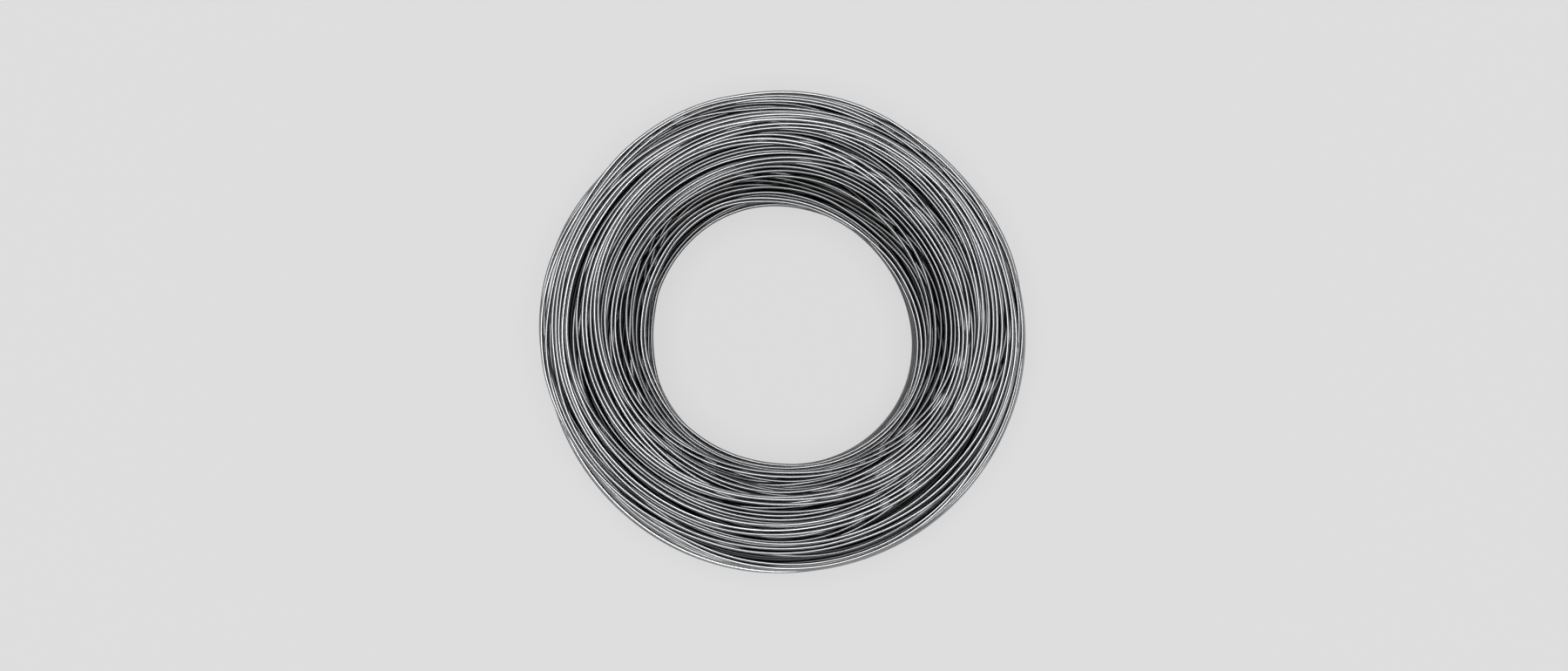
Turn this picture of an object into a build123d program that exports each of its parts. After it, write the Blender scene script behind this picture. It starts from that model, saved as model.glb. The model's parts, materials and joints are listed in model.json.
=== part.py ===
"""Coil of plain round wire rod, lying on its end with its eye upright.

The coil is one length of rod, wound into a thick ring with no ties. It is one turned solid: the section of
the bundle, revolved about the eye. Where turns lie side by side on the two ends they show as ridges, one for
each turn, with a furrow between neighbours. Round the four shoulders the turns run in bands, and the bundle
dips by one rod between a band and the next.

Millimetres. The origin is at the centre of the eye, on the floor that the coil lies on, and +Z is up.
"""

import os
from math import cos, radians, sin

from build123d import *

# Driving dimensions
outer_diameter = 1030.0  # over the outermost turns
bore_diameter = 552.0  # the open eye
coil_height = 256.0  # along the eye
rod_diameter = 7.0  # the rod itself, and so the pitch of the turns
corner_radius = 84.0  # how round the bundle is at its four shoulders
seat_width = 8.0  # least width of the flat ring on each side of the ridges
shoulder_dips = 3  # dips between the bands of turns round each shoulder

# The section of the bundle
outer_radius = outer_diameter / 2
bore_radius = bore_diameter / 2
build_up = outer_radius - bore_radius
mean_radius = (outer_radius + bore_radius) / 2
roundness = min(corner_radius, 0.45 * build_up, 0.45 * coil_height)
dip_depth = rod_diameter

# The turns on the ends
end_width = build_up - 2 * roundness
furrow_count = int((end_width - 2 * seat_width) / rod_diameter)
furrow_depth = rod_diameter / 2  # neighbouring round turns touch at half their height
ridged_width = furrow_count * rod_diameter


def end_ridges(end_height, inward):
    """Crests and furrows of one end, from the eye outwards. inward is the way into the bundle."""
    crest = mean_radius - ridged_width / 2
    ridges = [(crest, end_height)]
    for _ in range(furrow_count):
        ridges.append((crest + rod_diameter / 2, end_height + inward * furrow_depth))
        crest += rod_diameter
        ridges.append((crest, end_height))
    return ridges


def shoulder(centre_radius, centre_height, start_angle):
    """Bands of one shoulder, anticlockwise from start_angle: crests on its round, and a dip between each two."""
    bands = []
    for step in range(2 * shoulder_dips + 1):
        reach = roundness - dip_depth * (step % 2)
        angle = radians(start_angle + 45 * step / shoulder_dips)
        bands.append((centre_radius + reach * cos(angle), centre_height + reach * sin(angle)))
    return bands


inner, outer = bore_radius + roundness, outer_radius - roundness
lower, upper = roundness, coil_height - roundness
outline = (
    end_ridges(0.0, 1)
    + shoulder(outer, lower, -90)
    + shoulder(outer, upper, 0)
    + end_ridges(coil_height, -1)[::-1]
    + shoulder(inner, upper, 90)
    + shoulder(inner, lower, 180)
)

with BuildPart() as coil:
    with BuildSketch(Plane.XZ):
        with BuildLine():
            Polyline(*outline, close=True)
        make_face()
    revolve(axis=Axis.Z)

coil.part.label = "wire_rod_coil"

os.makedirs("parts", exist_ok=True)
export_step(coil.part, "parts/wire_rod_coil.step")
print("furrows on each end:", furrow_count)
print("bore wall length:", round(upper - lower, 3))
print("outer seat ring radii:", mean_radius + ridged_width / 2, outer)
print("volume in litres:", round(coil.part.volume / 1e6, 2))
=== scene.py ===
"""Coil of wire rod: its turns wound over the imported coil, with the floor, the light and the camera."""

import json
import math

import bpy
import numpy as np
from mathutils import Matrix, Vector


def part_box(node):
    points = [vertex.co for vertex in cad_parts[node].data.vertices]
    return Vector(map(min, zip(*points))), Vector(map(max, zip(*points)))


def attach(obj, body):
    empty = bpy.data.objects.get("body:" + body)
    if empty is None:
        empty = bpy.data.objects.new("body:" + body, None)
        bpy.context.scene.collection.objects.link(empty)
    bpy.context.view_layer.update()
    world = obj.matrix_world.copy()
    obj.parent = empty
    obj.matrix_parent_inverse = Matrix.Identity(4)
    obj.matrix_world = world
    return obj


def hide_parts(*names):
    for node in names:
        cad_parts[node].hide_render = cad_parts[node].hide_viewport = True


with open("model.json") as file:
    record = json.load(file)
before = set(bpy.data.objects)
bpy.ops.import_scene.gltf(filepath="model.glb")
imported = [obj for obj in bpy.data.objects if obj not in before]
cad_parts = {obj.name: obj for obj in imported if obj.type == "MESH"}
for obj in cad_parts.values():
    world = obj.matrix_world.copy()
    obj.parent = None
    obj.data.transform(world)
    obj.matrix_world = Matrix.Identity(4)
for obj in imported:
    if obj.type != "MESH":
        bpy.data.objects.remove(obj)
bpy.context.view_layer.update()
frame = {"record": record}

# Sizes, in metres. The section is that of the inner turns, and the laid turns are wound over it.
ROD = 0.007
CORNER = 0.075  # radius of the section's round shoulders
WALL_SHELL, UNDER_SHELL, TOP_SHELL = 0.0145, 0.014, 0.029  # depth of the laid turns over the section
TOP_PILES = 0.0155  # height of the piled turns above the coil as a whole
_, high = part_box("wire_rod_coil")
eye = next(mount for mount in frame["record"]["mounts"] if mount["name"] == "eye")
OUTER_RADIUS = high[0]
EYE_RADIUS = eye["dims"]["r_mm"] / 1000
HEIGHT = high[2]

# Winding. It starts on the eye's upper shoulder and goes over the top, down the rim, under the coil and up
# the eye, twice, and then over the top once more to the rim's upper shoulder. A share is a part of the way
# round the section, from the middle of the top outwards.
SEED = 46
STATIONS = 180  # points along one turn
FIRST_SHARE, LAST_SHARE = 0.85, 3.15
PITCHES = (1.15 * ROD, 1.25 * ROD, 1.4 * ROD)  # from one turn to the next in each layer, on the whole
SHOULDER = 0.45  # how much further apart the turns of the upper layers lie halfway round the shoulders
GATHER = 0.15  # how much closer the turns of a band lie
BAND = (1, 5)  # fewest turns that run side by side, and one more than the most
RISE = 0.95 * ROD  # from one layer to the next
BRIDGE = 3  # stations over which a turn bends to pass over another
SPAN = 20  # stations over which it then comes down again at most
SLOPE = 0.0013  # how far it comes down from one station to the next
FLATNESS = 0.6  # how far the low turns of a band come up to its highest
FLATTEN = 0.25  # of a turn, over which a band grows flat at its start and end
TRIES = 12  # ways that a band may lie, of which it takes the lowest
PILING = 0.5  # how much its highest place counts in that

# How the bands on top lie. Sizes are in rods, and angles degrees clockwise from +X, seen from above. Where a
# sway or shift begins and is full is given as the upward part of the section's normal.
SHIFT, SHIFT_AT = 5.2, (265, 225)  # how far off centre, and which way beside the eye and beside the rim
OVAL, OVAL_AT = 1.5, 167
SHIFT_FROM, SHIFT_FULL = 0.62, 0.92
SWAYS = (2.0, 1.4, 0.9, 0.6)  # how much they differ from each other, once to four times a turn
SWAY_FROM, SWAY_FULL = 0.1, 0.7

# Unevenness of the two outlines: size in rods, times a turn, and where it is furthest out
EYE_WAVES = ((1.0, 1, 106), (0.7, 2, 38), (0.5, 3, 27))
RIM_WAVES = ((0.5, 2, 30), (0.35, 3, 14))
MOST_WAVES = 3  # times a turn that either outline changes

# Steel. Tones are shares of its colour; the depth, inner and radial ones are painted shade and light.
STEEL = (0.3, 0.304, 0.311)
DEPTH_SHADE = (1.0, 0.55, 0.08)  # painted shade: the outermost turns keep their tone, and those under one layer and under two are painted darker as the shade between the turns
INNER_SHADE = 0.05  # painted shade: the inner turns are painted near black as the shade deep inside the coil
RADIAL_SHADING = (0.58, 1.27)  # painted shade and light: of the turns beside the eye, painted darker as shade, and beside the rim, painted lighter as light
BAND_TONES, TURN_TONES = 0.2, 0.15  # how much they differ from band to band and from turn to turn
DRIFT_TONES = (0.85, 1.15)  # between which they drift along the rod
DRIFT_ROUGHNESS = (0.32, 0.24)  # at the dark and the light end of that
DRIFT_SCALE, DRIFT_DETAIL = (2.5, 90, 90), 3  # changes a metre, along the rod and across it
LINE_SCALE, LINE_DETAIL = (30, 1500, 1500), 2
LINE_STRENGTH, LINE_DEPTH = 0.3, 0.0001
NOISE_RANGE = (0.3, 0.7)  # in which nearly all of a noise lies

# Meshes
SIDES = 10  # of a rod
PIECES = 5
CORE_STATIONS = 96  # points round the ring of inner turns
RIDGE_POINTS = 4  # across each of its ridges
INNER_DEPTH = 0.01  # how far it lies inside the section

# Floor and light
FLOOR_REACH = 12.0
FLOOR_GREY = (0.7305, 0.7305, 0.7305, 1)
FLOOR_GLOW = 0.85  # share of its grey that shows whatever the light, the rest being lit
LAMP_WIDTH = 40  # degrees across, as seen from the coil
SURROUND, HORIZON = 0.1, 1.2  # strength of the surround overhead, and at the horizon
HORIZON_TOP = 0.5  # upward part of the direction above which the surround is even

# The photograph and the camera
PHOTO_WIDTH, PHOTO_HEIGHT = 1800, 770
COIL_ACROSS = 554.4  # outside of the coil, in pixels
COIL_MIDDLE = (898.77, 382.75)
LENS, SENSOR = 100.0, 36.0  # millimetres
VIEW_END = 100  # metres
RIM_HEIGHT = 0.165  # height at which the outline is seen

PART = np.arange(STATIONS) / STATIONS
ANGLE = 2 * np.pi * np.arange(STATIONS) / STATIONS
ROUND_ROD = 2 * np.pi * np.arange(SIDES) / SIDES
random = np.random.default_rng(SEED)


def ease(part):
    """From 0 to 1, with a gentle start and end."""
    part = np.clip(part, 0, 1)
    return part * part * (3 - 2 * part)


def wave(size, times, at):
    """A sway of so many rods, furthest out at a clockwise angle, for each station of a turn."""
    return size * ROD * np.cos(times * (ANGLE + math.radians(at)))


class Section:
    """The inner turns' section: a rectangle with round corners. Ways round it start at the top's middle."""

    def __init__(self):
        lowest = np.array([EYE_RADIUS + WALL_SHELL, UNDER_SHELL])
        highest = np.array([OUTER_RADIUS - WALL_SHELL, HEIGHT - TOP_SHELL])
        self.middle = (lowest + highest) / 2
        self.half = (highest - lowest) / 2 - CORNER

    def girth(self, height):
        """Length of the way round, at a height over the section."""
        return 4 * self.half.sum() + 2 * np.pi * (CORNER + height)

    def place(self, way, height):
        """Foot on the section (radius, z) and outward normal, for ways round it at a height over it."""
        bend = CORNER + height
        quarter = np.pi / 2 * bend
        way = np.mod(way, self.girth(height))
        half_w, half_h = self.half
        x, z, turn = np.empty_like(way), np.empty_like(way), np.empty_like(way)
        start = np.zeros_like(way)
        # Sides and shoulders in turn: length of a side, quarter turns so far, start, and heading of a side
        runs = (
            (half_w, 0, (0, half_h), (1, 0)),
            (None, 0, (half_w, half_h), None),
            (2 * half_h, 1, (half_w, half_h), (0, -1)),
            (None, 1, (half_w, -half_h), None),
            (2 * half_w, 2, (half_w, -half_h), (-1, 0)),
            (None, 2, (-half_w, -half_h), None),
            (2 * half_h, 3, (-half_w, -half_h), (0, 1)),
            (None, 3, (-half_w, half_h), None),
            (half_w, 4, (-half_w, half_h), (1, 0)),
        )
        for length, quarters, at, heading in runs:
            along = way - start
            here = along >= 0
            if heading is None:
                x[here], z[here] = at
                turn[here] = (quarters * np.pi / 2 + along / bend)[here]
                start = start + quarter
            else:
                x[here] = (at[0] + along * heading[0])[here]
                z[here] = (at[1] + along * heading[1])[here]
                turn[here] = quarters * np.pi / 2
                start = start + length
        normal = np.stack([np.sin(turn), np.cos(turn)], -1)
        return self.middle + np.stack([x, z], -1) + CORNER * normal, normal


class Winding:
    """Turns laid one band after another round the section, each resting on those before it."""

    def __init__(self, section):
        self.section = section
        self.height, self.share = self.spiral()
        self.turns = len(self.share) - 1
        self.path = np.zeros((self.turns, STATIONS, 2))
        self.lift = np.zeros((self.turns, STATIONS))
        self.around = np.zeros((self.turns, STATIONS))
        self.tone = np.ones(self.turns)
        self.count = 0
        kernel = np.cos(np.pi * np.arange(-BRIDGE, BRIDGE + 1) / (2 * BRIDGE + 2)) ** 2
        self.kernel = kernel / kernel.sum()

    def spiral(self):
        """Height over the section and share of the way round it, turn by turn."""
        height, share = [], []
        at = FIRST_SHARE
        while at < LAST_SHARE:
            height.append(np.full(STATIONS, ROD / 2 + RISE * self.layer(at)))
            step = self.pitch(at, height[-1][0]) / self.section.girth(height[-1][0])
            share.append(at + step * PART)
            at += step
        return np.array(height), np.array(share)

    @staticmethod
    def layer(share):
        return int(share - FIRST_SHARE)

    def pitch(self, share, height):
        """From one turn to the next at a share of the way round."""
        layer = self.layer(share)
        if not layer:
            return PITCHES[layer]
        way = np.array([share * self.section.girth(height)])
        normal = self.section.place(way, np.array([height]))[1]
        return PITCHES[layer] * (1 + SHOULDER * (2 * normal.prod()) ** 2)

    def route(self, turn, sway):
        """Share of the way round along a turn with this sway, the girth at its height, and that height."""
        girth = self.section.girth(self.height[turn])
        return self.share[turn] + sway / girth, girth, self.height[turn]

    @staticmethod
    def resting(foot, normal, centres):
        """Heights at which a rod over foot touches rods with these centres, or 0 where it passes them."""
        gap = centres - foot
        rise = (gap * normal).sum(-1)
        reach = rise * rise - (gap * gap).sum(-1) + ROD * ROD
        return np.where(reach > 0, rise + np.sqrt(np.maximum(reach, 0)), 0)

    def contact(self, share, foot, normal):
        """Heights at which a turn rests on the section and on the turns laid so far."""
        lift = np.full(STATIONS, ROD / 2)
        apart = np.abs(np.mod(self.around[: self.count] - share + 0.5, 1) - 0.5)
        near = self.path[: self.count][apart.min(axis=1, initial=1) * self.section.girth(0) < 2 * ROD]
        if len(near):
            lift = np.maximum(lift, self.resting(foot, normal, near).max(axis=0))
        return lift

    def smooth(self, lift):
        """Heights bridged so that the rod bends gently and dips into no other."""
        crest = lift.copy()
        for step in range(1, SPAN + 1):
            fall = max(step - BRIDGE, 0) * SLOPE
            crest[step:] = np.maximum(crest[step:], lift[:-step] - fall)
            crest[:-step] = np.maximum(crest[:-step], lift[step:] - fall)
        return np.convolve(np.pad(crest, BRIDGE, mode="edge"), self.kernel, mode="valid")

    def raise_end(self, lift):
        """Raises the last SPAN stations of the turn before, so that it runs on into the next."""
        turn, end = self.count - 1, slice(STATIONS - SPAN, STATIONS)
        girth = self.section.girth(self.height[turn])
        foot, normal = self.section.place(self.around[turn] * girth, self.height[turn])
        blend = ease(np.arange(1, SPAN + 1) / SPAN)
        self.lift[turn, end] += blend * (lift - self.lift[turn, end])
        self.path[turn] = foot + self.lift[turn][:, None] * normal

    def lay(self, *sways):
        """Lays turns side by side as a nearly flat ribbon. The last sway is how the rod goes on after."""
        routes = [self.route(self.count + n, sway) for n, sway in enumerate(sways)]
        places = [self.section.place(share * girth, nominal) for share, girth, nominal in routes]
        own = np.array([self.contact(route[0], *place) for route, place in zip(routes, places)])
        own, onward = own[:-1], own[-1, :SPAN]
        begin = np.arange(own.size) / (FLATTEN * STATIONS)
        part = ease(np.minimum(begin, begin[::-1])).reshape(own.shape)
        flat = own + FLATNESS * part * (own.max(axis=0) - own)
        before = self.lift[self.count - 1, -SPAN:] if self.count else flat[0, :1].repeat(SPAN)
        lifts = self.smooth(np.concatenate([before, flat.reshape(-1), onward]))
        if self.count:
            self.raise_end(lifts[:SPAN])
        lifts = lifts[SPAN:-SPAN].reshape(own.shape)
        for (share, _, _), (foot, normal), lift in zip(routes, places, lifts):
            self.lift[self.count], self.around[self.count] = lift, share
            self.path[self.count] = foot + lift[:, None] * normal
            self.count += 1

    def pile(self, turns, sway):
        """How high the next turns would lie, on the whole and at their highest."""
        lifts = []
        for n in range(turns):
            share, girth, nominal = self.route(self.count + n, sway)
            lifts.append(self.contact(share, *self.section.place(share * girth, nominal)))
        return np.mean(lifts) + PILING * np.max(lifts)

    @staticmethod
    def sway(radius, up, layer):
        """How a band lies: by chance, and in the upper layers also off centre and a little oval."""
        chance = np.zeros(STATIONS)
        for times, size in enumerate(SWAYS, 1):
            chance += wave(random.normal() * size, times, random.uniform(0, 360))
        chance *= ease((up - SWAY_FROM) / (SWAY_FULL - SWAY_FROM))
        if not layer:
            return chance
        at = np.interp(radius, (EYE_RADIUS, OUTER_RADIUS), SHIFT_AT)
        shift = wave(SHIFT, 1, at) + wave(OVAL, 2, OVAL_AT)
        return chance + shift * ease((up - SHIFT_FROM) / (SHIFT_FULL - SHIFT_FROM))

    def wind(self):
        """Lays all the turns: for each band one turn over to it from the last, and the others beside that."""
        last = np.zeros(STATIONS)
        while self.count < self.turns:
            turns = min(int(random.integers(*BAND)), self.turns - self.count)
            share, girth, nominal = self.route(self.count + turns // 2, 0)
            foot, normal = self.section.place(share * girth, nominal)
            radius, up, layer = foot[:, 0].mean(), normal[:, 1].mean(), self.layer(share[0])
            ways = [self.sway(radius, up, layer) for _ in range(TRIES)]
            new = min(ways, key=lambda way: self.pile(turns, way))
            # Painted shade on the turns under others, darker with each layer above them
            tone = DEPTH_SHADE[int(LAST_SHARE - share[0])]
            # Painted shade beside the eye and painted light beside the rim
            tone *= np.interp(radius, (EYE_RADIUS, OUTER_RADIUS), RADIAL_SHADING)
            tones_and_shading = tone * random.normal(1, BAND_TONES) * random.normal(1, TURN_TONES, turns)
            self.tone[self.count : self.count + turns] = tones_and_shading
            closer = GATHER * self.pitch(share[0], nominal[0])
            gathered = [new + (turns / 2 - n - PART) * closer for n in range(turns + 1)]
            self.lay(last + ease(PART) * (gathered[0] - last), gathered[1])
            if turns > 1:
                self.lay(*gathered[1:])
            last = gathered[-1]
        return self.path


def broad(outline):
    """An outline without what changes more than MOST_WAVES times a turn."""
    spectrum = np.fft.rfft(outline)
    spectrum[MOST_WAVES + 1 :] = 0
    return np.fft.irfft(spectrum, STATIONS)


def settle(path):
    """Sets the turns on the floor, to their full height, and gives the two outlines their uneven shape."""
    radius, z = path[..., 0], path[..., 1]
    inner, outer = broad(radius.min(axis=0)), broad(radius.max(axis=0))
    eye_edge = EYE_RADIUS + ROD / 2 + sum(wave(*one) for one in EYE_WAVES)
    rim = OUTER_RADIUS - ROD / 2 + sum(wave(*one) for one in RIM_WAVES)
    radius = eye_edge + (rim - eye_edge) * (radius - inner) / (outer - inner)
    squeeze = (HEIGHT + TOP_PILES - ROD) / (z.max() - z.min())
    return np.stack([radius, (z - z.min()) * squeeze + ROD / 2], -1)


def tube(centre, angle):
    """Points and faces of a closed round rod along centres (radius, z) at these angles."""
    radius = centre[:, :1] + ROD / 2 * np.cos(ROUND_ROD)
    z = centre[:, 1:] + ROD / 2 * np.sin(ROUND_ROD)
    x, y = radius * np.cos(angle)[:, None], radius * np.sin(angle)[:, None]
    points = np.stack([x, y, z], -1).reshape(-1, 3)
    ring = np.arange(len(centre) - 1)[:, None] * SIDES
    here, beside = np.arange(SIDES), (np.arange(SIDES) + 1) % SIDES
    faces = np.stack([ring + here, ring + SIDES + here, ring + SIDES + beside, ring + beside], -1)
    caps = np.arange(SIDES), np.arange(len(points) - SIDES, len(points))[::-1]
    return points, faces.reshape(-1, 4), caps


def mesh_object(name, points, faces, caps=()):
    """A smooth-shaded object from points, four-sided faces and caps of many sides."""
    mesh = bpy.data.meshes.new(name)
    corners = np.concatenate([faces.reshape(-1), *caps]).astype(np.int32)
    sizes = [4] * len(faces) + [len(cap) for cap in caps]
    starts = np.concatenate([[0], np.cumsum(sizes)[:-1]]).astype(np.int32)
    mesh.vertices.add(len(points))
    mesh.vertices.foreach_set("co", points.astype(np.float32).reshape(-1))
    mesh.loops.add(len(corners))
    mesh.loops.foreach_set("vertex_index", corners)
    mesh.polygons.add(len(sizes))
    mesh.polygons.foreach_set("loop_start", starts)
    mesh.polygons.foreach_set("use_smooth", np.ones(len(sizes), bool))
    mesh.update(calc_edges=True)
    mesh.validate()
    made = bpy.data.objects.new(name, mesh)
    bpy.context.collection.objects.link(made)
    return made


def dress(piece, material, place, tone):
    """Gives a piece its material, and the place on the rod and the share of its colour, painted shade and
    light included, that it reads at each point.
    """
    stored = piece.data.attributes.new("place", "FLOAT_VECTOR", "POINT")
    stored.data.foreach_set("vector", place.astype(np.float32).reshape(-1))
    stored = piece.data.attributes.new("tone", "FLOAT", "POINT")
    stored.data.foreach_set("value", tone.astype(np.float32))
    piece.data.materials.append(material)
    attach(piece, "root")
    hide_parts("wire_rod_coil")


def steel():
    """Bare steel rod: its colour, which holds painted shade and light, differs from turn to turn and drifts
    along it, with fine lines lengthwise.
    """
    material = bpy.data.materials.new("bare_steel")
    material.use_nodes = True
    nodes, links = material.node_tree.nodes, material.node_tree.links
    shader = nodes["Principled BSDF"]
    shader.inputs["Metallic"].default_value = 1.0

    place = nodes.new("ShaderNodeAttribute")
    place.attribute_name = "place"
    # The share of the steel's colour at each point: painted shade and light, and a tone that differs at
    # random
    tone = nodes.new("ShaderNodeAttribute")
    tone.attribute_name = "tone"

    def noise(scale, detail):
        stretch = nodes.new("ShaderNodeMapping")
        stretch.inputs["Scale"].default_value = scale
        links.new(place.outputs["Vector"], stretch.inputs["Vector"])
        texture = nodes.new("ShaderNodeTexNoise")
        texture.inputs["Scale"].default_value = 1.0
        texture.inputs["Detail"].default_value = detail
        links.new(stretch.outputs["Vector"], texture.inputs["Vector"])
        return texture.outputs["Fac"]

    def spread(value, limits):
        ranged = nodes.new("ShaderNodeMapRange")
        ranged.inputs["From Min"].default_value, ranged.inputs["From Max"].default_value = NOISE_RANGE
        ranged.inputs["To Min"].default_value, ranged.inputs["To Max"].default_value = limits
        links.new(value, ranged.inputs["Value"])
        return ranged.outputs["Result"]

    drift = noise(DRIFT_SCALE, DRIFT_DETAIL)
    lines = noise(LINE_SCALE, LINE_DETAIL)
    shade = nodes.new("ShaderNodeMath")
    shade.operation = "MULTIPLY"
    links.new(tone.outputs["Fac"], shade.inputs[0])
    links.new(spread(drift, DRIFT_TONES), shade.inputs[1])
    colour = nodes.new("ShaderNodeVectorMath")
    colour.operation = "SCALE"
    colour.inputs[0].default_value = STEEL
    links.new(shade.outputs[0], colour.inputs["Scale"])
    links.new(colour.outputs[0], shader.inputs["Base Color"])
    links.new(spread(drift, DRIFT_ROUGHNESS), shader.inputs["Roughness"])
    bump = nodes.new("ShaderNodeBump")
    bump.inputs["Strength"].default_value = LINE_STRENGTH
    bump.inputs["Distance"].default_value = LINE_DEPTH
    links.new(lines, bump.inputs["Height"])
    links.new(bump.outputs["Normal"], shader.inputs["Normal"])
    return material


def add_turns(section, metal):
    """The laid turns: one rod from end to end, cut into pieces of like length."""
    winding = Winding(section)
    path = settle(winding.wind()).reshape(-1, 2)
    stations = np.arange(len(path))
    angle = 2 * np.pi * stations / STATIONS
    along = np.cumsum(path[:, 0]) * 2 * np.pi / STATIONS
    # The share of colour per turn, with its painted shade and light
    tone = np.interp(stations / STATIONS, np.arange(winding.turns) + 0.5, winding.tone)
    limits = np.linspace(0, len(path) - 1, PIECES + 1).astype(int)
    for n, (first, last) in enumerate(zip(limits[:-1], limits[1:]), 1):
        span = slice(first, last + 1)
        piece = mesh_object(f"turns_{n}", *tube(path[span], angle[span]))
        place = np.zeros((last + 1 - first, SIDES, 3))
        place[..., 0] = along[span, None]
        place[..., 1] = ROD / 2 * np.cos(ROUND_ROD)
        place[..., 2] = ROD / 2 * np.sin(ROUND_ROD)
        dress(piece, metal, place, np.repeat(tone[span], SIDES))


def add_inner_turns(section, metal):
    """The turns under the laid ones, as one ridged ring."""
    ridges = int(section.girth(0) / ROD)
    steps = np.arange(ridges * RIDGE_POINTS)
    count = len(steps)
    foot, normal = section.place(steps / count * section.girth(0), np.zeros(count))
    across = 2 * (steps % RIDGE_POINTS) / RIDGE_POINTS - 1
    depth = INNER_DEPTH + ROD / 2 * (1 - np.sqrt(1 - across * across))
    outline = foot - depth[:, None] * normal
    angle = 2 * np.pi * np.arange(CORE_STATIONS) / CORE_STATIONS
    x = outline[:, 0] * np.cos(angle)[:, None]
    y = outline[:, 0] * np.sin(angle)[:, None]
    points = np.stack([x, y, np.broadcast_to(outline[:, 1], x.shape)], -1).reshape(-1, 3)
    ring = np.arange(CORE_STATIONS)[:, None]
    this, after = ring * count, (ring + 1) % CORE_STATIONS * count
    here, beside = np.arange(count), (np.arange(count) + 1) % count
    faces = np.stack([this + here, this + beside, after + beside, after + here], -1).reshape(-1, 4)
    piece = mesh_object("inner_turns", points, faces)
    place = np.zeros((CORE_STATIONS, count, 3))
    place[..., 0] = angle[:, None] * OUTER_RADIUS
    place[..., 1] = steps * ROD / RIDGE_POINTS
    # Painted shade: the inner turns are painted near black
    dress(piece, metal, place, np.full(len(points), INNER_SHADE))


def add_floor():
    """A pale floor, which shows most of its grey as it is and takes the coil's shadow with the rest."""
    corners = [(x * FLOOR_REACH, y * FLOOR_REACH, 0) for x, y in ((-1, -1), (1, -1), (1, 1), (-1, 1))]
    mesh = bpy.data.meshes.new("floor")
    mesh.from_pydata(corners, [], [(0, 1, 2, 3)])
    floor = bpy.data.objects.new("floor", mesh)
    bpy.context.collection.objects.link(floor)
    pale = bpy.data.materials.new("floor")
    pale.use_nodes = True
    nodes, links = pale.node_tree.nodes, pale.node_tree.links
    nodes.remove(nodes["Principled BSDF"])
    diffuse = nodes.new("ShaderNodeBsdfDiffuse")
    diffuse.inputs["Color"].default_value = FLOOR_GREY
    glow = nodes.new("ShaderNodeEmission")
    glow.inputs["Color"].default_value = FLOOR_GREY
    light_path = nodes.new("ShaderNodeLightPath")
    seen = light_path.outputs["Is Camera Ray"]
    for ray in ("Is Glossy Ray", "Is Transmission Ray"):
        either = nodes.new("ShaderNodeMath")
        either.operation = "MAXIMUM"
        links.new(seen, either.inputs[0])
        links.new(light_path.outputs[ray], either.inputs[1])
        seen = either.outputs[0]
    share = nodes.new("ShaderNodeMath")
    share.operation = "MULTIPLY"
    share.inputs[1].default_value = FLOOR_GLOW
    links.new(seen, share.inputs[0])
    mix = nodes.new("ShaderNodeMixShader")
    links.new(share.outputs[0], mix.inputs[0])
    links.new(diffuse.outputs[0], mix.inputs[1])
    links.new(glow.outputs[0], mix.inputs[2])
    links.new(mix.outputs[0], nodes["Material Output"].inputs["Surface"])
    mesh.materials.append(pale)


def add_light():
    """A lamp straight above and a surround, brighter low down, which light the floor at a plain level."""
    world = bpy.data.worlds.new("surround")
    bpy.context.scene.world = world
    world.use_nodes = True
    nodes, links = world.node_tree.nodes, world.node_tree.links
    background = nodes["Background"]
    background.inputs["Color"].default_value = (1, 1, 1, 1)
    direction = nodes.new("ShaderNodeTexCoord")
    parts = nodes.new("ShaderNodeSeparateXYZ")
    links.new(direction.outputs["Generated"], parts.inputs[0])
    strength = nodes.new("ShaderNodeMapRange")
    strength.inputs["From Min"].default_value = 0
    strength.inputs["From Max"].default_value = HORIZON_TOP
    strength.inputs["To Min"].default_value = HORIZON
    strength.inputs["To Max"].default_value = SURROUND
    links.new(parts.outputs["Z"], strength.inputs["Value"])
    links.new(strength.outputs["Result"], background.inputs["Strength"])
    # What the surround gives an open floor, where a strength of 1 all round gives 1; the lamp gives the rest
    surround_on_floor = SURROUND + (HORIZON - SURROUND) * HORIZON_TOP**2 / 3
    sun = bpy.data.lights.new("overhead", "SUN")
    sun.energy = (1 - surround_on_floor) * math.pi
    sun.angle = math.radians(LAMP_WIDTH)
    lamp = bpy.data.objects.new("overhead", sun)
    bpy.context.collection.objects.link(lamp)


def add_camera():
    """Straight above, so far up and aside that the coil fills the photograph's place."""
    camera = bpy.data.cameras.new("camera")
    camera.lens, camera.sensor_width = LENS, SENSOR
    camera.clip_end = VIEW_END
    viewer = bpy.data.objects.new("camera", camera)
    bpy.context.collection.objects.link(viewer)
    bpy.context.scene.camera = viewer
    focal = LENS / SENSOR * PHOTO_WIDTH
    metres_per_pixel = 2 * OUTER_RADIUS / COIL_ACROSS
    viewer.location = (
        (PHOTO_WIDTH / 2 - COIL_MIDDLE[0]) * metres_per_pixel,
        (COIL_MIDDLE[1] - PHOTO_HEIGHT / 2) * metres_per_pixel,
        RIM_HEIGHT + metres_per_pixel * focal,
    )


metal = steel()
section = Section()
add_turns(section, metal)
add_inner_turns(section, metal)
add_floor()
add_light()
add_camera()
bpy.context.scene.view_settings.view_transform = "Standard"
